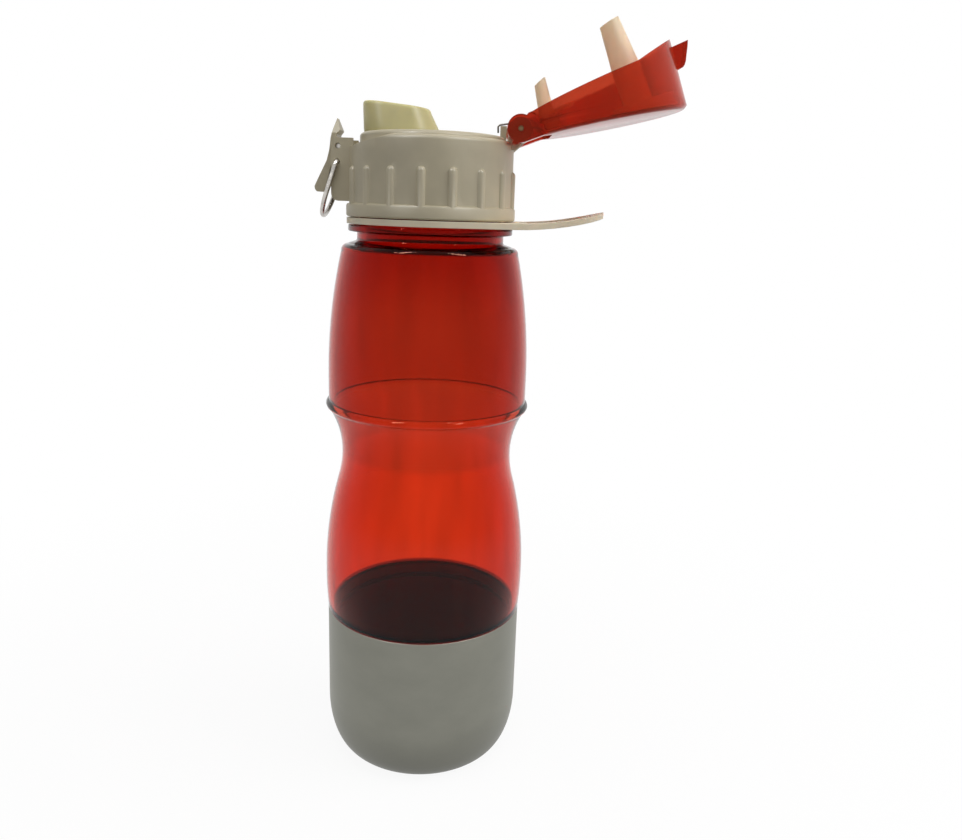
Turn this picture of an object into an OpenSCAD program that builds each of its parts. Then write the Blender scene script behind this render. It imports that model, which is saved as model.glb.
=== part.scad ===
// Travel water bottle with a flip lid and a pull-off steel drinking cup.
// Millimetres, +Z up, origin at the middle of the cup's underside.
// The latch and mouthpiece are on the -X side, the lid hinge and finger loop on +X.
// The lid is drawn standing open, as the bottle is when someone drinks.

/* [Steel cup] */
// Outer radius of the cup
cup_r = 36.1; // [32:0.1:42]
// Height of the cup, where the body meets it
cup_h = 57; // [46:0.5:66]
// Sheet thickness of the cup
cup_wall = 0.8; // [0.6:0.1:1.2]
// Radial size of the cup's rounded foot
cup_corner_w = 8.5; // [5:0.5:12]
// Height of the cup's rounded foot
cup_corner_h = 20; // [10:0.5:28]

/* [Bottle body] */
// Wall of the moulded body
body_wall = 1.8; // [1.4:0.1:2.4]
// Gap between the nested body and the cup
nest_gap = 0.45; // [0.3:0.05:0.8]
// Largest radius, at the lower bulge
bulge_r = 36.75; // [36.3:0.05:39]
// Radius at the waist
waist_r = 30.6; // [27:0.1:33]
// Height of the waist
waist_z = 117; // [112:0.5:122]
// Radius of the curve that leads from the bulge into the waist
waist_arc = 36; // [20:1:60]
// Radius of the straight upper body
chest_r = 35.25; // [34:0.05:38]
// Height of the bead round the body
bead_z = 134.6; // [130:0.2:139]
// How far the bead stands proud
bead_proud = 0.95; // [0.5:0.05:2]
// Height of the shoulder's top
shoulder_z = 190.2; // [182:0.2:198]
// Radius of the long curve up to the shoulder
chest_arc = 198; // [120:2:400]
// Rounding of the shoulder's edge
shoulder_round = 2.4; // [2:0.1:4]

/* [Neck] */
// Bore of the neck
neck_bore_r = 22.3; // [18:0.1:23]
// Outer radius of the neck, under the thread
neck_r = 24.3; // [23.6:0.1:24.6]
// Radius of the flange that carries the strap ring
flange_r = 28.2; // [27:0.1:29]
// Thickness of the flange
flange_t = 2.2; // [1.5:0.1:3]
// Height of the neck above the flange
neck_h = 21.6; // [18:0.2:24]

/* [Strap ring] */
// Outer radius of the ring
strap_r = 28.6; // [28:0.1:30]
// Thickness of the strap
strap_t = 2; // [1.4:0.1:2.6]
// Reach of the finger loop from the axis
loop_reach = 59; // [50:0.5:75]
// Radius of the loop's round end
loop_r = 15; // [12:0.5:18]
// Width of the loop's band
loop_band = 4.5; // [3:0.1:6]
// Rise of the loop at its end
loop_rise = 4.4; // [0:0.2:8]

/* [Cap] */
// Radius of the grip band and of the ribs
grip_r = 28.75; // [28.2:0.05:30]
// How far the ribs stand proud
rib_proud = 1; // [0.6:0.05:1.2]
// Inner radius of the skirt
skirt_bore_r = 26.1; // [25.9:0.1:26.6]
// Height of the skirt, from its lower edge to the ledge
skirt_h = 25.7; // [24:0.1:30]
// Number of ribs round the cap
rib_count = 16; // [8:2:16]
// Angle between two ribs, in degrees
rib_pitch = 20.7; // [18:0.1:21]
// Width of a rib
rib_w = 3; // [2:0.1:3.6]
// Height of the collar above the ledge
collar_h = 1.5; // [1:0.1:2]
// Drop of the ledge at the latch
ledge_drop = 3.2; // [2:0.1:3.6]

/* [Mouthpiece] */
// Half length of the mouthpiece at its foot
spout_foot_a = 12.7; // [12:0.1:12.8]
// Half width of the mouthpiece at its foot
spout_foot_b = 8.9; // [8:0.1:10]
// Half length of the mouthpiece at its lip
spout_lip_a = 11.3; // [10.6:0.1:11.4]
// Half width of the mouthpiece at its lip
spout_lip_b = 7.3; // [6.8:0.1:8]
// Wall of the mouthpiece
spout_wall = 2; // [1.5:0.1:2.2]
// Slope of the mouthpiece's top, in degrees
spout_slope = 5.5; // [0:0.5:8]

/* [Lid] */
// Angle by which the lid stands open, in degrees
lid_open = 155; // [0:1:155]
// Outer radius of the lid at its rim
lid_r = 26.3; // [26.1:0.1:26.6]
// Wall of the lid
lid_wall = 1.3; // [1.1:0.1:1.4]
// Draft of the lid's side, in degrees
lid_draft = 4.5; // [3:0.5:6]
// Slope of the lid's top, in degrees
lid_slope = 12.7; // [10:0.1:13]
// Rounding of the lid's top edge
lid_round = 2.3; // [2:0.1:4]
// Radius of the lid's hinge knuckles
knuckle_r = 4.4; // [4:0.1:4.8]
// Radius of the hinge pin
hinge_pin_r = 0.9; // [0.7:0.05:1.2]
// Half width over the lid's knuckles
hinge_half = 13; // [12:0.1:14]

/* [Stoppers] */
// Radius of the long stopper
plug_r = 4.75; // [4:0.05:5]
// Radius of the long stopper's tip
plug_tip_r = 3.25; // [2:0.05:4]
// Depth of the long stopper below the lid's rim
plug_depth = 16.4; // [10:0.2:18]
// Slant of the long stopper's tip, in degrees
plug_slant = 8; // [0:1:15]
// Radius of the vent stopper
vent_r = 2.6; // [2:0.05:2.8]
// Depth of the vent stopper below the lid's rim
vent_depth = 8.6; // [5:0.2:9.4]
// Slant of the vent stopper's tip, in degrees
vent_slant = 18; // [0:1:20]

/* [Latch] */
// Half width of the lever
lever_half = 4.8; // [4:0.1:5.4]
// Thickness of each cheek
cheek_t = 1.8; // [1.4:0.1:2.4]
// Radius of the latch pin
latch_pin_r = 0.9; // [0.7:0.05:1]
// Radius of the bail's wire
bail_wire_r = 0.8; // [0.6:0.05:1]
// Length of the bail from its holes to its end
bail_length = 18.4; // [17:0.1:20]
// Outward lean of the hanging bail, in degrees
bail_lean = 18.7; // [0:0.1:25]

/* [Springs] */
// Wire radius of the lid spring
lid_wire_r = 0.3; // [0.2:0.05:0.4]
// Turns of the lid spring
lid_turns = 5; // [3:1:6]
// Wire radius of the latch spring
latch_wire_r = 0.25; // [0.15:0.05:0.3]
// Turns of the latch spring
latch_turns = 5; // [3:1:6]

/* [Hidden] */
$fn = 96;
slack = 0.3; // gap between pieces that only lie against each other
running = 0.05; // radial clearance of a pin that turns
overlap = 0.6; // depth to which one form is sunk into the form it grows from
past = 1; // how far a cutter runs past what it cuts
wide = 80; // larger than any cross-section of the bottle

function arc(cx, cy, r, a0, a1, n) =
    [for (i = [0:n]) let (a = a0 + (a1 - a0) * i / n) [cx + r * cos(a), cy + r * sin(a)]];
function ellipse_arc(cx, cy, rx, ry, a0, a1, n) =
    [for (i = [0:n]) let (a = a0 + (a1 - a0) * i / n) [cx + rx * cos(a), cy + ry * sin(a)]];
function sagitta_r(chord_half, rise) = (chord_half * chord_half + rise * rise) / (2 * rise);
function reversed(list) = [for (i = [len(list) - 1:-1:0]) list[i]];
function shifted(list, dx, dy) = [for (p = list) [p[0] + dx, p[1] + dy]];
function unit(v) = v / norm(v);

// Body levels
side_round_z = shoulder_z - shoulder_round;
flange_z = shoulder_z + 4.1;
flange_top = flange_z + flange_t;
neck_top = flange_top + neck_h;
neck_under_r = neck_r + 0.9;

// Cap levels, all counted from the strap ring that it stands on
strap_z = flange_top + slack;
cap_z = strap_z + strap_t + slack;
ledge_z = cap_z + skirt_h;
deck_top = ledge_z + collar_h;
deck_t = 1.8;
deck_under = deck_top - deck_t;
gasket_t = 1.1;
roof_z = neck_top + slack + gasket_t + 0.1;
skirt_r = grip_r - rib_proud;
skirt_top_r = skirt_r - 0.25;
band_edge = 0.8;
skirt_round = 1.5;
band_h = 4.4;
rib_top = 16.2;
recess_r = neck_bore_r + slack;
rim_z = ledge_z + slack;
dip_x = -10;
dip_slope = ledge_drop / 15.2;

// Lid, worked out shut
lid_x = 0.6;
collar_x = 0.4;
collar_r = lid_r - lid_wall - 0.5;
collar_edge_w = 1.9;
collar_edge_h = collar_h - 0.1;
lid_top = ledge_z + 13.6;
hinge_x = 29.2;
hinge_z = ledge_z + 3.7;
lug_r = knuckle_r - 0.5;
lug_in = 4.6;
lug_out = 7.6;
knuckle_in = lug_out + slack + 0.1;
notch_l = 9;

// Mouthpiece
spout_foot_x = -10.2;
spout_lip_x = -11.9;
spout_h = 9.2;
spout_flange = 0.7;

// Latch
cheek_in = lever_half + slack + 0.1;
cheek_out = cheek_in + cheek_t;
cheek_x = -33;
cheek_low = cap_z + 4.9;
cheek_top = ledge_z - 0.6;
latch_x = -30.7;
latch_z = ledge_z - 3.2;
bail_x = -31;
bail_z = ledge_z - 8.25;
bail_half = cheek_out + bail_wire_r + 0.4;
lever_spring_drop = 13.6;
lever_spring_z = ledge_z - lever_spring_drop;

// Shapes that several pieces share

// A slot's outline along X, as two discs and the strip between them
module slot_2d(a, b) {
    for (side = [-1, 1])
        translate([side * (a - b), 0])
            circle(r = b);
    square([2 * (a - b), 2 * b], center = true);
}

// A solid from an outline drawn in X and Z, from y0 to y1
module side_slab(y0, y1) {
    translate([0, y1, 0])
        rotate([90, 0, 0])
            linear_extrude(height = y1 - y0)
                children();
}

// A cylinder along Y from y0 to y1
module cross_pin(x, z, r, y0, y1) {
    translate([x, y1, z])
        rotate([90, 0, 0])
            cylinder(r = r, h = y1 - y0);
}

// Points of a slot's outline, half length a and half width b, counter-clockwise
function slot_ring(a, b, n) =
    [for (i = [0:n - 1])
        let (t = 360 * (i + 0.5) / n, end = cos(t) >= 0 ? 1 : -1)
        [end * (a - b) + b * cos(t), b * sin(t)]];

// A closed band of quads between rings that follow each other round, like a torus
module ring_loft(rings) {
    n = len(rings[0]);
    m = len(rings);
    faces = [for (k = [0:m - 1], i = [0:n - 1], half = [0, 1])
        let (a = k * n + i, b = k * n + (i + 1) % n,
            c = ((k + 1) % m) * n + (i + 1) % n, d = ((k + 1) % m) * n + i)
        half == 0 ? [a, c, b] : [a, d, c]];
    polyhedron(points = [for (r = rings, p = r) p], faces = faces, convexity = 6);
}

// A round wire swept along a path, with flat ends
module wire(path, r, sides = 6) {
    m = len(path);
    dirs = [for (k = [0:m - 1]) unit(path[min(k + 1, m - 1)] - path[max(k - 1, 0)])];
    side_of = [for (d = dirs) unit(cross(d, abs(d[1]) < 0.8 ? [0, 1, 0] : [0, 0, 1]))];
    points = [for (k = [0:m - 1], i = [0:sides - 1])
        let (t = 360 * i / sides, u = side_of[k], v = cross(dirs[k], u))
        path[k] + r * (cos(t) * u + sin(t) * v)];
    walls = [for (k = [0:m - 2], i = [0:sides - 1], half = [0, 1])
        let (a = k * sides + i, b = k * sides + (i + 1) % sides, c = b + sides, d = a + sides)
        half == 0 ? [a, c, b] : [a, d, c]];
    first = [[for (i = [0:sides - 1]) i]];
    last = [[for (i = [sides - 1:-1:0]) (m - 1) * sides + i]];
    polyhedron(points = points, faces = concat(walls, first, last), convexity = 10);
}

// Steel cup

cup_ring_r = 20.5;
cup_ring_h = 0.6;
function cup_outer() = concat(
    [[0, 0], [cup_ring_r - 2, 0], [cup_ring_r - 1.3, cup_ring_h], [cup_ring_r + 1.3, cup_ring_h],
        [cup_ring_r + 2, 0]],
    ellipse_arc(cup_r - cup_corner_w, cup_corner_h, cup_corner_w, cup_corner_h, -90, 0, 14),
    arc(cup_r - cup_wall / 2, cup_h - cup_wall / 2, cup_wall / 2, 0, 90, 3));
function cup_inner() = concat(
    [[0, cup_wall], [cup_ring_r - 2, cup_wall], [cup_ring_r - 1.3, cup_wall + cup_ring_h],
        [cup_ring_r + 1.3, cup_wall + cup_ring_h], [cup_ring_r + 2, cup_wall]],
    ellipse_arc(cup_r - cup_corner_w, cup_corner_h,
        cup_corner_w - cup_wall, cup_corner_h - cup_wall, -90, 0, 14),
    [[cup_r - cup_wall, cup_h]]);

module steel_base_cup() {
    color("silver")
        rotate_extrude()
            polygon(concat(cup_outer(), reversed(cup_inner())));
}

// Bottle body

low_z = cup_h + 13;
high_z = low_z + 2;
low_arc = sagitta_r(low_z - cup_h, bulge_r - cup_r);
blend_sum = sagitta_r(waist_z - high_z, bulge_r - waist_r);
bulge_arc = blend_sum - waist_arc;
blend_z = high_z + (waist_z - high_z) * bulge_arc / blend_sum;
bead_half = 1.3;
bead_arc = sagitta_r(bead_half, bead_proud);
rise_arc = sagitta_r(bead_z - bead_half - waist_z, chest_r - waist_r);
chest_z = bead_z + 10.4;
chest_end = asin((side_round_z - chest_z) / chest_arc);
round_r = chest_r - chest_arc + chest_arc * cos(chest_end) - shoulder_round * cos(chest_end);

// The outline of the body's side, from the cup's rim to the shoulder's edge
function body_side() = concat(
    arc(bulge_r - low_arc, low_z, low_arc, -asin((low_z - cup_h) / low_arc), 0, 4),
    arc(bulge_r - bulge_arc, high_z, bulge_arc, 0, asin((blend_z - high_z) / bulge_arc), 10),
    arc(waist_r + waist_arc, waist_z, waist_arc,
        180 + asin((waist_z - blend_z) / waist_arc) - 1, 180, 6),
    arc(waist_r + rise_arc, waist_z, rise_arc,
        178, 180 - asin((bead_z - bead_half - waist_z) / rise_arc) + 1, 9),
    arc(chest_r + bead_proud - bead_arc, bead_z, bead_arc,
        -asin(bead_half / bead_arc), asin(bead_half / bead_arc), 8),
    arc(chest_r - chest_arc, chest_z, chest_arc, 0, chest_end, 10));

nest_r = cup_r - cup_wall - nest_gap;
nest_x = cup_r - cup_corner_w;
push_r = nest_x - 3.6;
push_h = 3;
push_arc = sagitta_r(push_r, push_h);

// The nested end, inset by d from the cup's inner face
function nest_outline(d) = concat(
    reversed(arc(0, cup_wall + d + push_h - push_arc, push_arc, 90 - asin(push_r / push_arc), 90, 8)),
    ellipse_arc(nest_x, cup_corner_h, cup_corner_w - cup_wall - d, cup_corner_h - cup_wall - d,
        -90, 0, 12));

function shoulder_outer() = concat(
    arc(round_r, side_round_z, shoulder_round, chest_end + 4, 90, 6),
    [[neck_under_r + 0.7, shoulder_z + 0.5], [neck_under_r, shoulder_z + 1.1],
        [neck_under_r, flange_z], [flange_r - 0.3, flange_z], [flange_r, flange_z + 0.3],
        [flange_r, flange_top - 0.3], [flange_r - 0.3, flange_top], [neck_r, flange_top],
        [neck_r, neck_top - 0.5], [neck_r - 0.5, neck_top]]);

function bottle_inner() = concat(
    nest_outline(nest_gap + body_wall),
    [[nest_r - body_wall, cup_h - 3]],
    shifted(body_side(), -body_wall, 0),
    arc(round_r, side_round_z, shoulder_round - body_wall, chest_end + 4, 90, 3),
    [[neck_bore_r + 1, shoulder_z - body_wall + 0.3], [neck_bore_r, shoulder_z - body_wall + 1.3],
        [neck_bore_r, neck_top - 0.4], [neck_bore_r + 0.4, neck_top]]);

grip_ring_z = cup_h - 7;
grip_ring_t = 2.2;
grip_ring_depth = 0.9;

module bottle_body() {
    color("firebrick")
        difference() {
            rotate_extrude()
                polygon(concat(nest_outline(nest_gap), [[nest_r, cup_h]], body_side(),
                    shoulder_outer(), reversed(bottle_inner())));
            rotate_extrude()
                translate([nest_r - grip_ring_depth, grip_ring_z])
                    square([grip_ring_depth + past, grip_ring_t]);
        }
}

// Silicone ring that grips the cup from inside
module base_grip_ring() {
    inner = nest_r - grip_ring_depth + running;
    outer = cup_r - cup_wall - 0.1;
    height = grip_ring_t - 2 * running;
    color("dimgray")
        translate([0, 0, grip_ring_z + running])
            rotate_extrude()
                polygon([[inner, 0], [outer - 0.4, 0], [outer, height * 0.3], [outer, height * 0.7],
                    [outer - 0.4, height], [inner, height]]);
}

// Strap ring with its finger loop

loop_x = loop_reach - loop_r;
loop_arc = (loop_reach - strap_r) * (loop_reach - strap_r) / (2 * loop_rise + 0.001);

// Outline of two discs and the strip that touches both
module drop_2d(r1, r2, d) {
    lean = acos((r1 - r2) / d);
    circle(r = r1);
    translate([d, 0])
        circle(r = r2);
    polygon([[r1 * cos(lean), -r1 * sin(lean)], [d + r2 * cos(lean), -r2 * sin(lean)],
        [d + r2 * cos(lean), r2 * sin(lean)], [r1 * cos(lean), r1 * sin(lean)]]);
}

// The strap's height over X: level round the neck, then rising on a curve
function strap_rise(x) = x < strap_r ? 0 : (x - strap_r) * (x - strap_r) / (2 * loop_arc);
strap_x = concat([-wide / 2, strap_r - 4], [for (i = [0:12]) strap_r + (wide - strap_r) * i / 12]);

module carry_ring() {
    hole_r = loop_r - loop_band;
    hole_start = strap_r + loop_band;
    color("antiquewhite")
        intersection() {
            translate([0, 0, strap_z - wide / 2])
                linear_extrude(height = wide)
                    difference() {
                        drop_2d(strap_r, loop_r, loop_x);
                        circle(r = skirt_bore_r + 0.1);
                        difference() {
                            union() {
                                translate([loop_x, 0])
                                    circle(r = hole_r);
                                translate([0, -hole_r])
                                    square([loop_x, 2 * hole_r]);
                            }
                            circle(r = hole_start);
                        }
                    }
            side_slab(-wide / 2, wide / 2)
                polygon(concat([for (x = strap_x) [x, strap_z + strap_rise(x)]],
                    reversed([for (x = strap_x) [x, strap_z + strap_t + strap_rise(x)]])));
        }
}

// Cap

function skirt_outline() = concat(
    [[skirt_bore_r, cap_z], [grip_r - 0.5, cap_z], [grip_r, cap_z + 0.5], [grip_r, cap_z + band_h - band_edge],
        [grip_r - 0.25, cap_z + band_h - 0.3], [skirt_r, cap_z + band_h]],
    arc(skirt_top_r - skirt_round, ledge_z - skirt_round, skirt_round, 0, 90, 6),
    [[recess_r, ledge_z], [recess_r, roof_z], [skirt_bore_r, roof_z]]);

module collar_disc(z0) {
    translate([collar_x, 0, 0])
        rotate_extrude()
            polygon(concat([[0, z0], [collar_r, z0]],
                ellipse_arc(collar_r - collar_edge_w, deck_top - collar_edge_h,
                    collar_edge_w, collar_edge_h, 0, 90, 6),
                [[0, deck_top]]));
}

// Half-round ribs with round heads, centred on the hinge's side and left out at the latch
module grip_ribs() {
    rib_r = rib_w / 2;
    for (i = [0:rib_count - 1])
        rotate([0, 0, (i - (rib_count - 1) / 2) * rib_pitch])
            translate([grip_r - 0.05 - rib_r, 0, 0])
                rotate_extrude()
                    polygon(concat([[0, cap_z + 1.5], [rib_r, cap_z + 1.5]],
                        arc(0, cap_z + rib_top - rib_r, rib_r, 0, 90, 5)));
}

// What is cut away above the ledge where it runs down to the latch
module ledge_dip() {
    difference() {
        side_slab(-wide / 2, wide / 2)
            polygon([[dip_x, ledge_z], [-wide / 2, ledge_z + (dip_x + wide / 2) * -dip_slope],
                [-wide / 2, deck_top + past], [dip_x, deck_top + past]]);
        collar_disc(roof_z);
        cylinder(r = recess_r + 0.4, h = deck_top + past);
    }
}

// One cheek of the latch bracket, in X and Z
module cheek_2d() {
    round_low = 2.4;
    difference() {
        union() {
            polygon(concat([[-lid_r + overlap, cheek_top - 2.8], [-lid_r + overlap, cheek_top],
                [cheek_x + 0.8, cheek_top], [cheek_x, cheek_top - 0.8]],
                arc(cheek_x + round_low, cheek_low + round_low, round_low, 180, 270, 5),
                [[-skirt_bore_r - 0.4, cheek_low], [-skirt_bore_r - 0.4, cheek_top - 2.8]]));
        }
        translate([latch_x, latch_z])
            circle(r = latch_pin_r + 0.02);
        translate([bail_x, bail_z])
            circle(r = bail_wire_r + 0.2);
    }
}

// One ear of the hinge with its gusset
module ear_2d() {
    foot = skirt_r - 1.2;
    gusset_h = 2.8;
    difference() {
        union() {
            translate([hinge_x, hinge_z])
                circle(r = lug_r);
            polygon([[foot - 1.2, deck_top - 0.2], [foot, ledge_z - gusset_h], [skirt_r - 0.1, ledge_z - gusset_h],
                [hinge_x + lug_r * cos(-60), hinge_z + lug_r * sin(-60)],
                [hinge_x, hinge_z + lug_r * 0.7], [foot - 1.2, deck_top + 0.8]]);
        }
        translate([hinge_x, hinge_z])
            circle(r = hinge_pin_r + 0.02);
    }
}

// Vent slot in the deck: long enough for the leaning stopper's swing
vent_x = 18.6;
vent_lean = 10;
vent_front = hinge_x - 19.4;
vent_back = vent_x + vent_r + slack;
vent_a = (vent_back - vent_front) / 2;
vent_b = vent_r + slack;
vent_mid = (vent_back + vent_front) / 2;

post_x = 22.7;
post_w = 2.1;
post_l = 2.4;
post_h = 4.9;
post_top = ledge_z + post_h;
post_y = -lug_in + 0.2;

module cap_shell() {
    color("ivory")
        difference() {
            union() {
                difference() {
                    rotate_extrude()
                        polygon(skirt_outline());
                    ledge_dip();
                }
                difference() {
                    collar_disc(roof_z + past);
                    translate([0, 0, roof_z])
                        cylinder(r = recess_r, h = deck_under - roof_z);
                }
                grip_ribs();
                for (side = [-1, 1])
                    side_slab(side > 0 ? cheek_in : -cheek_out, side > 0 ? cheek_out : -cheek_in)
                        cheek_2d();
                for (side = [-1, 1])
                    side_slab(side > 0 ? lug_in : -lug_out, side > 0 ? lug_out : -lug_in)
                        ear_2d();
                translate([post_x, post_y, ledge_z - overlap])
                    cube([post_w, post_l, post_top - ledge_z + overlap]);
            }
            translate([spout_foot_x, 0, roof_z])
                linear_extrude(height = wide / 4)
                    slot_2d(spout_foot_a - 1, spout_foot_b - 1);
            translate([vent_mid, 0, roof_z])
                linear_extrude(height = wide / 4)
                    slot_2d(vent_a, vent_b);
        }
}

module cap_gasket() {
    color("whitesmoke")
        translate([0, 0, neck_top + slack])
            difference() {
                cylinder(r = skirt_bore_r - 0.2, h = gasket_t);
                translate([0, 0, -past])
                    cylinder(r = recess_r - 0.1, h = gasket_t + 2 * past);
            }
}

// Mouthpiece: a soft oval tube, clamped in the deck by a groove round its stem

spout_n = 40;
function spout_ring(x, a, b, z, tilt) =
    [for (p = slot_ring(a, b, spout_n)) [x + p[0], p[1], z - tilt * tan(spout_slope) * p[0]]];
stem_a = spout_foot_a - 1.2;
stem_b = spout_foot_b - 1.2;
spout_bore_a = spout_foot_a - 3.4;
spout_bore_b = spout_foot_b - 3;
spout_lip_z = deck_top + spout_h;

function spout_rings() = [
    spout_ring(spout_foot_x, stem_a + spout_flange, stem_b + 1.6, deck_under - 1.5, 0),
    spout_ring(spout_foot_x, stem_a + spout_flange, stem_b + 1.6, deck_under - 0.2, 0),
    spout_ring(spout_foot_x, stem_a, stem_b, deck_under - 0.2, 0),
    spout_ring(spout_foot_x, stem_a, stem_b, deck_top + 0.2, 0),
    spout_ring(spout_foot_x, spout_foot_a, spout_foot_b, deck_top + 0.2, 0),
    spout_ring(spout_foot_x - 0.2, spout_foot_a - 0.1, spout_foot_b - 0.2, deck_top + 1.8, 0.1),
    spout_ring(spout_lip_x + 0.1, spout_lip_a + 0.1, spout_lip_b + 0.1, spout_lip_z - 1.4, 1),
    spout_ring(spout_lip_x, spout_lip_a - 0.1, spout_lip_b - 0.1, spout_lip_z - 0.6, 1),
    spout_ring(spout_lip_x, spout_lip_a - 0.5, spout_lip_b - 0.5, spout_lip_z - 0.1, 1),
    spout_ring(spout_lip_x, spout_lip_a - 1, spout_lip_b - 1, spout_lip_z, 1),
    spout_ring(spout_lip_x, spout_lip_a - spout_wall + 0.3, spout_lip_b - spout_wall + 0.3,
        spout_lip_z - 0.2, 1),
    spout_ring(spout_lip_x, spout_lip_a - spout_wall, spout_lip_b - spout_wall, spout_lip_z - 0.8, 1),
    spout_ring(spout_foot_x, spout_bore_a, spout_bore_b, deck_top + 1, 0),
    spout_ring(spout_foot_x, spout_bore_a, spout_bore_b, deck_under - 1.5, 0)
];

module spout() {
    color("khaki")
        ring_loft(spout_rings());
}

// Lid, modelled shut and swung open about its pin

module swung_open() {
    translate([hinge_x, 0, hinge_z])
        rotate([0, lid_open, 0])
            translate([-hinge_x, 0, -hinge_z])
                children();
}

// The lid's outer form, or its hollow when inset by the wall
module lid_form(inset) {
    low = ledge_z - 20;
    high = 42;
    flare = tan(lid_draft);
    round_now = lid_round - inset;
    disc_r = lid_r - 0.55 - inset;
    intersection() {
        translate([lid_x, 0, low])
            cylinder(r1 = lid_r - inset + (rim_z - low) * flare,
                r2 = lid_r - inset + (rim_z - low - high) * flare, h = high);
        translate([lid_x + 0.3, 0, lid_top])
            rotate([0, lid_slope, 0])
                translate([0, 0, -inset])
                    rotate_extrude()
                        polygon(concat([[0, 0]],
                            reversed(arc(disc_r - round_now, -round_now, round_now, 0, 90, 6)),
                            [[disc_r, -lid_round - 1], [wide, -lid_round - 12], [wide, -wide / 2],
                                [0, -wide / 2]]));
    }
}

// Everything under the lid's rim, which runs down at the latch as the ledge does
module below_rim() {
    side_slab(-wide / 2, wide / 2)
        polygon([[wide / 2, 0], [wide / 2, rim_z], [dip_x, rim_z],
            [-wide / 2, rim_z + (dip_x + wide / 2) * -dip_slope], [-wide / 2, 0]]);
}

// The tab that the latch hooks, in X and Z
module tab_2d() {
    root = lid_x - lid_r + 1;
    polygon([[root, ledge_z - 0.7], [-30.9, ledge_z - 0.7], [-30, ledge_z + 1.4],
        [-29, ledge_z + 3.3], [-28.3, ledge_z + 4.8], [-27.6, ledge_z + 5.8],
        [-26.8, ledge_z + 6.4], [root, ledge_z + 6.5]]);
}

stay_x = -16.6;
stay_r = 1.2;

// Heel on each knuckle that meets the skirt when the lid stands fully open
heel = [[5.5, 35], [5.2, 50], [knuckle_r - 0.1, 70]];

module lid_knuckle(y0, y1) {
    side_slab(y0, y1)
        difference() {
            union() {
                translate([hinge_x, hinge_z])
                    circle(r = knuckle_r);
                polygon([[hinge_x, hinge_z + knuckle_r], [hinge_x - 7.5, hinge_z + knuckle_r + 0.5],
                    [hinge_x - 7.5, rim_z + 3], [hinge_x - 5, rim_z], [hinge_x - 3.9, rim_z],
                    [hinge_x, hinge_z - 1]]);
                polygon(concat([[hinge_x, hinge_z]],
                    [for (h = heel) [hinge_x + h[0] * cos(h[1]), hinge_z + h[0] * sin(h[1])]]));
            }
            translate([hinge_x, hinge_z])
                circle(r = hinge_pin_r + running);
        }
}

module lid_shut() {
    difference() {
        union() {
            difference() {
                lid_form(0);
                lid_form(lid_wall);
                below_rim();
            }
            difference() {
                intersection() {
                    side_slab(-lever_half + 0.2, lever_half - 0.2)
                        tab_2d();
                    translate([-wide / 2, -wide / 2, 0])
                        cube([wide, wide, wide * 4]);
                }
                lid_form(lid_wall - 0.2);
            }
            intersection() {
                lid_form(lid_wall / 2);
                translate([stay_x, 0, ledge_z - 1.3])
                    cylinder(r = stay_r, h = 20);
            }
            for (side = [-1, 1])
                lid_knuckle(side > 0 ? knuckle_in : -hinge_half, side > 0 ? hinge_half : -knuckle_in);
        }
        // Room between the knuckles for the ears, the spring and its post
        cross_pin(hinge_x, hinge_z, lug_r + 0.5, -knuckle_in, knuckle_in);
        translate([hinge_x - notch_l, -knuckle_in, rim_z - past])
            cube([notch_l, 2 * knuckle_in, wide]);
    }
}

module lid_shell() {
    color("crimson")
        swung_open()
            lid_shut();
}

// What lies under a plane through x and z that rises by the slant towards the hinge
module below_slant(x, z, slant) {
    translate([x, 0, z])
        rotate([0, -slant, 0])
            translate([-wide / 2, -wide / 2, -wide])
                cube([wide, wide, wide]);
}

// Long stopper: a sealing pad under the lid's top and a tapered plug with a slanted tip

plug_x = -10.4;
pad_gap = 0.25;
module spout_stopper() {
    pad_a = spout_lip_a - 0.9;
    pad_b = spout_lip_b - 0.7;
    lip_now = spout_lip_z + pad_gap;
    color("linen")
        swung_open()
            difference() {
                intersection() {
                    lid_form(lid_wall + running);
                    union() {
                        difference() {
                            translate([spout_lip_x, 0, 0])
                                linear_extrude(height = wide * 4)
                                    slot_2d(pad_a, pad_b);
                            below_slant(spout_lip_x, lip_now, -spout_slope);
                        }
                        translate([plug_x, 0, rim_z])
                            cylinder(r = plug_r, h = 20);
                        translate([plug_x, 0, rim_z - plug_depth - 1])
                            cylinder(r1 = plug_tip_r, r2 = plug_r, h = plug_depth + 1);
                    }
                }
                below_slant(plug_x, rim_z - plug_depth, plug_slant);
                translate([stay_x, 0, 0])
                    cylinder(r = stay_r + running, h = wide * 4);
            }
}

// Short stopper: a pad over the vent slot and a pin that leans to the front, with a slanted tip
module vent_stopper() {
    pad_t = 1.2;
    color("linen")
        swung_open()
            difference() {
                intersection() {
                    lid_form(lid_wall + running);
                    union() {
                        translate([vent_mid, 0, deck_top + pad_gap])
                            linear_extrude(height = pad_t)
                                slot_2d(vent_a + 0.7, vent_b + 0.7);
                        translate([vent_x, 0, deck_top + pad_gap + pad_t / 2])
                            cylinder(r = vent_r + 0.3, h = 12);
                        translate([vent_x + 0.3, 0, deck_top + pad_gap + pad_t / 2])
                            rotate([0, vent_lean, 0])
                                translate([0, 0, -vent_depth - 3])
                                    cylinder(r1 = vent_r * 0.75, r2 = vent_r, h = vent_depth + 3);
                    }
                }
                below_slant(vent_x - 1.5, rim_z - vent_depth, vent_slant);
            }
}

module hinge_pin() {
    color("goldenrod")
        cross_pin(hinge_x, hinge_z, hinge_pin_r, -hinge_half - 0.1, hinge_half + 0.1);
}

// Lid spring: a coil round the pin, one leg over the cap's post and one against the lid's top

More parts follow.
